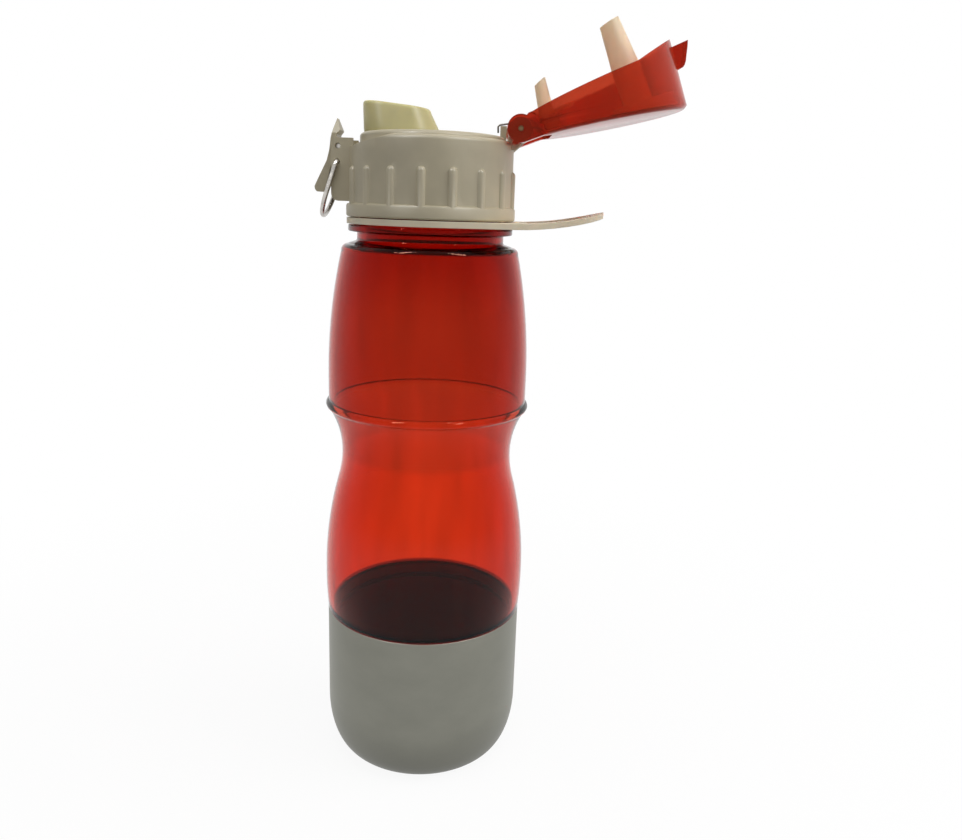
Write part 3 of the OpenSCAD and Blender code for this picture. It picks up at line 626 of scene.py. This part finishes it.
def cup_profile(s):
    """The cup's sheet: flat foot with a pressed ring, elliptical corner, wall and rolled rim."""
    r, h, t = mm(s.cup_r), mm(s.cup_h), mm(s.cup_wall)

    def face(d):
        """The foot, corner and wall, d inside the cup's outer face."""
        ring = [(0, d), (18.5, d), (19.2, d + 0.6), (21.8, d + 0.6), (22.5, d)]
        corner = oval_arc(r - CORNER_IN, CORNER_UP, CORNER_IN - d, CORNER_UP - d, -90, 0, 40)
        return np.vstack([eased(ring, 0.5), corner])

    rim = arc(r - t / 2, h - t / 2, t / 2, 0, 180, 8)
    return np.vstack([face(0), rim, face(t)[::-1]])


def make_spout(s):
    """A soft oval tube: ovals whose centre, half sizes, height and tilt follow a closed outline."""
    deck = neck_levels(s)[2] + DECK_RISE
    lip, under = deck + 9.2, deck - 1.8
    slope = math.tan(math.radians(5.5))
    rows = np.array([  # centre, half length, half width, height, tilt
        (-10.2, 12.2, 9.3, under - 1.5, 0), (-10.2, 12.2, 9.3, under - 0.2, 0),
        (-10.2, 11.5, 7.7, under - 0.2, 0), (-10.2, 11.5, 7.7, deck + 0.2, 0),
        (-10.2, 12.7, 8.9, deck + 0.2, 0), (-10.4, 12.6, 8.7, deck + 1.8, 0.1),
        (-11.8, 11.4, 7.4, lip - 1.4, 1), (-11.9, 11.2, 7.2, lip - 0.6, 1),
        (-11.9, 10.8, 6.8, lip - 0.1, 1), (-11.9, 10.3, 6.3, lip, 1),
        (-11.9, 9.6, 5.6, lip - 0.2, 1), (-11.9, 9.3, 5.3, lip - 0.8, 1),
        (-10.2, 9.3, 5.9, deck + 1, 0), (-10.2, 9.3, 5.9, under - 1.5, 0)])
    rows = eased(rows, 0.7, 5, loop=True)
    n = 96
    t = 2 * math.pi * (np.arange(n) + 0.5) / n
    x, a, b, z, tilt = (rows[:, k][:, None] for k in range(5))
    px = np.where(np.cos(t) >= 0, 1, -1) * (a - b) + b * np.cos(t)
    grid = np.stack([x + px, b * np.sin(t) + 0 * px, z - tilt * slope * px], -1)
    return surface("mouthpiece", grid, loop_rows=True, crease=50)


def make_cap_thread(s):
    """The cap's inner thread: a half oval carried along a helix in the bore, thin at its ends."""
    pitch, sides, turns, lead = mm(s.thread_pitch), 12, 2.2, 1.5
    deep, half = 1.15, 0.8
    z0 = neck_levels(s)[1] + THREAD_START
    t = np.linspace(0, 2 * math.pi * turns, 240)
    q = np.linspace(0, 2 * math.pi, sides, endpoint=False)
    size = np.clip(np.minimum(t, t[-1] - t) / 0.5, 0.02, 1)[:, None]
    r = CAP_BORE + 0.15 - deep * size * np.clip(np.cos(q), -0.2, 1)
    z = z0 + pitch * (t / (2 * math.pi) + lead)[:, None] + half * size * np.sin(q)
    grid = np.stack([r * np.cos(t)[:, None], r * np.sin(t)[:, None], z], -1)
    tips = grid[[0, -1]].mean(1, keepdims=True).repeat(sides, 1)
    return surface("cap_thread", np.vstack([tips[:1], grid, tips[1:]]), crease=60)


def make_seal(s):
    """The cap's seal on the neck's lip: a flat ring with rounded edges, turned about Z."""
    r0, r1, z0 = 22.5, 25.9, neck_levels(s)[2] + 0.3
    z1 = z0 + 1.1
    outline = eased([(r0, z0), (r1, z0), (r1, z1), (r0, z1)], 0.3, loop=True)
    return revolved("cap_seal", outline, 144, loop=True)


def make_lid_spring():
    """A leg over the cap's post, five turns round the pin and a leg against the lid's top."""
    x0, z0 = HINGE
    coil, y0, wide, turns = 2.3, -3.9, 7.8, 5
    post, top = 22.7, 229.7  # x of the post's face and height of the post's top
    k = np.linspace(0, turns, 181)
    t = math.pi / 2 - 2 * math.pi * k
    winding = np.stack(
        [x0 + coil * np.cos(t), y0 + wide * k / turns, z0 + coil * np.sin(t)], -1)
    near = eased([
        (post - 0.7, y0, top - 2.2), (post - 0.8, y0, top - 0.2), (post - 0.2, y0, top + 0.35),
        (post + 1, y0, top + 0.5), (post + 4, y0, z0 + coil - 0.05)], 0.8, 6)
    far = [(x0 + x, 4.0, z0 + coil - (x - 2) * 0.16) for x in (2, 7, 12)]
    return tube("lid_coil", np.vstack([near, winding, far]), 0.3)


def make_latch_spring():
    """Five turns of compression spring between the lever's foot and the skirt."""
    x0, x1, z0 = LATCH_COIL
    coil, turns = 2.1, 5
    k = np.linspace(0, turns, 201)
    t = 2 * math.pi * k
    path = np.stack([x0 + (x1 - x0) * k / turns, coil * np.cos(t), z0 + coil * np.sin(t)], -1)
    return tube("latch_coil", path, 0.25, 10, across=(1, 0, 0))


def make_bail(s):
    """A U of wire whose ends turn in to the cheeks.

    Two straight ends, two quarter bends and a half circle in the YZ plane, leaned about Y.
    """
    half, bend, reach, end = 8.2, 1.2, 18.4, 5.5
    a = np.linspace(0, math.pi / 2, 9)
    corner = np.stack([0 * a, half - bend + bend * np.sin(a), bend * np.cos(a) - bend], -1)
    a = np.linspace(0, math.pi, 41)
    bow = np.stack([0 * a, half * np.cos(a), half - reach - half * np.sin(a)], -1)
    path = spaced(np.vstack([
        (0, end, 0), corner, bow, corner[::-1] * (1, -1, 1), (0, -end, 0)]), 0.6)
    lean = math.radians(18.7)
    turn = np.array([[math.cos(lean), 0, math.sin(lean)], [0, 1, 0],
                     [-math.sin(lean), 0, math.cos(lean)]])
    path = path @ turn.T + (BAIL[0], 0, BAIL[1])
    return tube("bail_wire", path, mm(s.wire_r), 16, across=turn @ (1, 0, 0), rounded=True)


# ---------------------------------------------------------------- operators


class BuildPiece:
    """Shared options of the operators that build pieces."""

    bl_options = {"REGISTER", "UNDO"}


class BOTTLE_OT_cup(BuildPiece, bpy.types.Operator):
    """Build the steel drinking cup"""

    bl_idname = "bottle.cup"
    bl_label = "Steel Cup"

    def execute(self, context):
        s = sizes()
        # 22 mm: the painted shade on the cup reaches up to this height
        look = satin_steel("satin steel", finish().steel, 22, mm(s.cup_h))
        cup = revolved("cup_sheet", cup_profile(s))
        settle(cup, "steel_base_cup", look, "base_cup")
        return {"FINISHED"}


class BOTTLE_OT_body(BuildPiece, bpy.types.Operator):
    """Build the clear body with its threaded neck, and the grip ring in its groove"""

    bl_idname = "bottle.body"
    bl_label = "Clear Body"

    def execute(self, context):
        f, s = finish(), sizes()
        rim, waist, bead, shoulder = mm(s.cup_h), mm(s.waist_z), mm(s.bead_z), mm(s.shoulder_z)
        shades = [
            # painted shade: a dark band at the cup's rim
            (0, f.body_low), (rim - 0.6, f.body_low), (rim - 0.3, f.body_rim_shade),
            (rim + 0.5, f.body_rim_shade), (rim + 1, f.body_low), (waist - 1.5, f.body_low),
            # painted reflection: lighter from the waist to the bead
            (waist + 1, f.body_waist_reflection), (bead - 1.6, f.body_waist_reflection), (bead + 2.4, f.body_chest),
            # painted shade: darkened towards the shoulder
            (165, f.body_chest), (shoulder - 4.2, f.body_shoulder_shade)]
        gloss = [(0, PLAIN_GLOSS), (84, PLAIN_GLOSS), (96, WARM_GLOSS), (190, WARM_GLOSS)]
        look = clear_plastic("clear body plastic", shades, gloss)
        settle(make_body(s), "bottle_body", look, "bottle")
        grip = soft_silicone("dark silicone", (0.03, 0.03, 0.03), 0.6, 0.1)
        settle(make_grip_band(), "base_grip_ring", grip, "bottle")
        return {"FINISHED"}


class BOTTLE_OT_strap(BuildPiece, bpy.types.Operator):
    """Build the strap ring with its finger loop"""

    bl_idname = "bottle.strap"
    bl_label = "Strap Ring"

    def execute(self, context):
        look = moulded_plastic("strap plastic", finish().strap, 0.5, 0.25, 0.2)
        settle(refined("strap", "carry_ring", 0.5, 4), "carry_ring", look, "strap")
        return {"FINISHED"}


class BOTTLE_OT_cap(BuildPiece, bpy.types.Operator):
    """Build the screw cap with its thread, seal and mouthpiece"""

    bl_idname = "bottle.cap"
    bl_label = "Screw Cap"

    def execute(self, context):
        f, s = finish(), sizes()
        look = moulded_plastic("cap plastic", f.cap)
        settle(refined("cap_body", "cap_shell", 0.3), "cap_shell", look, "cap")
        settle(make_cap_thread(s), None, look, "cap")
        seal = soft_silicone("seal silicone", tint(225, 225, 220))
        settle(make_seal(s), "cap_gasket", seal, "cap_lift")
        spout = soft_silicone("mouthpiece silicone", f.spout, 0.42)
        settle(make_spout(s), "spout", spout, "cap")
        return {"FINISHED"}


class BOTTLE_OT_lid(BuildPiece, bpy.types.Operator):
    """Build the clear lid and its two stoppers"""

    bl_idname = "bottle.lid"
    bl_label = "Flip Lid"

    def execute(self, context):
        f = finish()
        low, high = 225, 260
        shades = [(low, f.lid), (high, shade(f.lid, 0.96))]
        gloss = [(low, WARM_GLOSS), (high, WARM_GLOSS)]
        clear = clear_plastic("clear lid plastic", shades, gloss, 0.3, 0.14, 1.2)
        settle(refined("clear_lid", "lid_shell", 0.3), "lid_shell", clear, "lid")
        soft = soft_silicone("stopper silicone", f.stopper, 0.55, through=0.3)
        for name, node, edge, segments in (("long_stopper", "spout_stopper", 0.5, 4),
                                           ("short_stopper", "vent_stopper", 0.35, 3)):
            stopper = refined(name, node, edge, segments)
            settle(stopper, node, soft, "lid")
        return {"FINISHED"}


class BOTTLE_OT_hinge(BuildPiece, bpy.types.Operator):
    """Build the lid's pin and spring"""

    bl_idname = "bottle.hinge"
    bl_label = "Hinge Pin and Spring"

    def execute(self, context):
        brass = drawn_wire("brass pin", finish().brass, 0.35)
        settle(rod("lid_pin", *HINGE, PIN_R, 12.7), "hinge_pin", brass, "cap")
        dark = drawn_wire("spring steel", tint(105, 100, 95), 0.3)
        coil = settle(make_lid_spring(), "lid_spring", dark)
        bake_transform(coil)
        return {"FINISHED"}


class BOTTLE_OT_latch(BuildPiece, bpy.types.Operator):
    """Build the latch lever with its pin and spring, and the wire bail"""

    bl_idname = "bottle.latch"
    bl_label = "Latch and Bail"

    def execute(self, context):
        f, s = finish(), sizes()
        look = moulded_plastic("latch plastic", f.cap)
        hook = refined("latch_hook", "latch_lever", 0.35)
        settle(hook, "latch_lever", look, "latch")
        wire = drawn_wire("bright wire", f.wire)
        dark = bpy.data.materials["spring steel"]
        settle(rod("latch_axle", *LATCH, PIN_R, 5.6), "latch_pin", wire, "cap")
        coil = settle(make_latch_spring(), "latch_spring", dark, "cap")
        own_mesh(coil)
        settle(make_bail(s), "wire_bail", wire, "bail")
        return {"FINISHED"}


class BOTTLE_OT_stage(BuildPiece, bpy.types.Operator):
    """Build the floor, the lights and the camera"""

    bl_idname = "bottle.stage"
    bl_label = "Stage"

    def execute(self, context):
        make_floor()
        make_world()
        make_lights()
        make_camera()
        return {"FINISHED"}


# ---------------------------------------------------------------- stage

WHITE = (1, 1, 1, 1)
SEEN_WHITE = ("Is Camera Ray", "Is Glossy Ray", "Is Transmission Ray")
WORLD_LIGHT = 0.24
LAMPS = (  # name, place and size in metres, power in watts, only seen as a glint
    ("key", (1.0, -0.1, 0.6), 0.8, 6.3, False),
    ("top", (0.05, -0.1, 1.2), 0.8, 6.6, False),
    ("fill", (-0.9, -0.6, 0.4), 0.9, 0.7, False),
    ("glint left", (-0.4, -0.5, 0.85), 0.16, 9.0, True),
    ("glint right", (0.5, -0.45, 0.85), 0.16, 9.0, True),
)
LENS, PICTURE = 840.2, 962  # focal length and picture width in pixels
SENSOR = 36  # width in millimetres
PITCH, ROLL = 14.30, 2.0
CAMERA = (0.01963, -0.2969, 0.204)


def white_rays(nodes, links):
    """1 for the kinds of ray that see plain white, and 0 for the others."""
    path = nodes.new("ShaderNodeLightPath")
    total = path.outputs[SEEN_WHITE[0]]
    for kind in SEEN_WHITE[1:]:
        add = nodes.new("ShaderNodeMath")
        add.operation = "MAXIMUM"
        links.new(total, add.inputs[0])
        links.new(path.outputs[kind], add.inputs[1])
        total = add.outputs[0]
    return total


def mixed(nodes, links, fac, first, second):
    """The first shader where fac is 0 and the second where it is 1. Returns a socket."""
    mix = nodes.new("ShaderNodeMixShader")
    links.new(fac, mix.inputs["Fac"])
    links.new(first, mix.inputs[1])
    links.new(second, mix.inputs[2])
    return mix.outputs[0]


def make_floor():
    """A wide round floor of rings that lie further apart outwards.

    It is seen as white chalk that turns to plain white further out, and lights as grey.
    """
    r = np.r_[0, np.geomspace(20, 3000, 24)][:, None]
    t = np.linspace(0, 2 * math.pi, 96, endpoint=False)[None, :]
    floor = surface("floor", np.stack([r * np.cos(t), r * np.sin(t), 0 * r * t], -1))
    look = principled("floor", finish().floor, Roughness=0.9, Specular_IOR_Level=0.1)
    nodes, links = graph(look)
    glow = nodes.new("ShaderNodeEmission")
    chalk = nodes.new("ShaderNodeBsdfDiffuse")
    chalk.inputs["Color"].default_value = WHITE
    where = nodes.new("ShaderNodeTexCoord")
    reach = nodes.new("ShaderNodeVectorMath")
    reach.operation = "LENGTH"
    links.new(where.outputs["Object"], reach.inputs[0])
    fade = nodes.new("ShaderNodeMapRange")
    fade.interpolation_type = "SMOOTHSTEP"
    for key, value in (("From Min", 0.05), ("From Max", 0.35), ("To Min", 0.92), ("To Max", 1.0)):
        fade.inputs[key].default_value = value
    links.new(reach.outputs["Value"], fade.inputs["Value"])
    seen = mixed(nodes, links, fade.outputs["Result"], chalk.outputs[0], glow.outputs[0])
    grey = nodes[PRINCIPLED].outputs[0]
    links.new(mixed(nodes, links, white_rays(nodes, links), grey, seen),
              nodes["Material Output"].inputs["Surface"])
    floor.data.materials.append(look)


def make_world():
    """White where the camera, gloss and clear plastic see it, and a plain grey light otherwise."""
    world = bpy.context.scene.world or bpy.data.worlds.new("World")
    bpy.context.scene.world = world
    world.use_nodes = True
    nodes, links = graph(world)
    light, white = nodes["Background"], nodes.new("ShaderNodeBackground")
    for shader, strength in ((light, WORLD_LIGHT), (white, 1.0)):
        shader.inputs["Color"].default_value = WHITE
        shader.inputs["Strength"].default_value = strength
    links.new(mixed(nodes, links, white_rays(nodes, links), light.outputs[0], white.outputs[0]),
              nodes["World Output"].inputs["Surface"])


def make_lights():
    """Broad lights from the right, above and weakly the left, and two strips that leave glints."""
    for name, place, size, power, glint in LAMPS:
        data = bpy.data.lights.new(name, "AREA")
        data.shape = "RECTANGLE"
        data.size, data.size_y = size, size * (4 if glint else 1)
        data.energy = power
        lamp = bpy.data.objects.new(name, data)
        bpy.context.scene.collection.objects.link(lamp)
        lamp.location = place
        lamp.visible_glossy = glint
        lamp.visible_diffuse = lamp.visible_transmission = not glint
        aim = Vector((0, 0, 0.13)) - lamp.location
        lamp.rotation_euler = aim.to_track_quat("-Z", "Y").to_euler()


def make_camera():
    """The camera, by its lens, height, distance, downward pitch and small roll."""
    data = bpy.data.cameras.new("camera")
    data.sensor_width = SENSOR
    data.lens = LENS * SENSOR / PICTURE
    data.clip_start, data.clip_end = 0.01, 20
    camera = bpy.data.objects.new("camera", data)
    bpy.context.scene.collection.objects.link(camera)
    pitch = Euler((math.radians(90 - PITCH), 0, 0)).to_matrix()
    camera.rotation_euler = (pitch @ Matrix.Rotation(math.radians(ROLL), 3, "Z")).to_euler()
    camera.location = CAMERA
    bpy.context.scene.camera = camera


# ---------------------------------------------------------------- panel and run

STEPS = (BOTTLE_OT_cup, BOTTLE_OT_body, BOTTLE_OT_strap, BOTTLE_OT_cap, BOTTLE_OT_lid,
         BOTTLE_OT_hinge, BOTTLE_OT_latch, BOTTLE_OT_stage)


class BOTTLE_PT_pieces(bpy.types.Panel):
    """Lists the operators and the sizes and colours that they use"""

    bl_idname = "BOTTLE_PT_pieces"
    bl_label = "Travel Bottle"
    bl_space_type = "VIEW_3D"
    bl_region_type = "UI"
    bl_category = "Bottle"

    def draw(self, context):
        for step in STEPS:
            self.layout.operator(step.bl_idname)
        for group in (context.scene.bottle_sizes, context.scene.bottle_finish):
            box = self.layout.box()
            for key in type(group).__annotations__:
                box.prop(group, key)


CLASSES = (BottleSizes, BottleFinish, *STEPS, BOTTLE_PT_pieces)


def register():
    """Registers the classes and gives the scene its sizes and colours."""
    for cls in CLASSES:
        bpy.utils.register_class(cls)
    bpy.types.Scene.bottle_sizes = bpy.props.PointerProperty(type=BottleSizes)
    bpy.types.Scene.bottle_finish = bpy.props.PointerProperty(type=BottleFinish)


def unregister():
    """Undoes register."""
    del bpy.types.Scene.bottle_finish
    del bpy.types.Scene.bottle_sizes
    for cls in reversed(CLASSES):
        bpy.utils.unregister_class(cls)


def main():
    register()
    bpy.context.scene.view_settings.view_transform = "Standard"
    for step in STEPS:
        group, name = step.bl_idname.split(".")
        getattr(getattr(bpy.ops, group), name)()


if __name__ == "__main__":
    main()
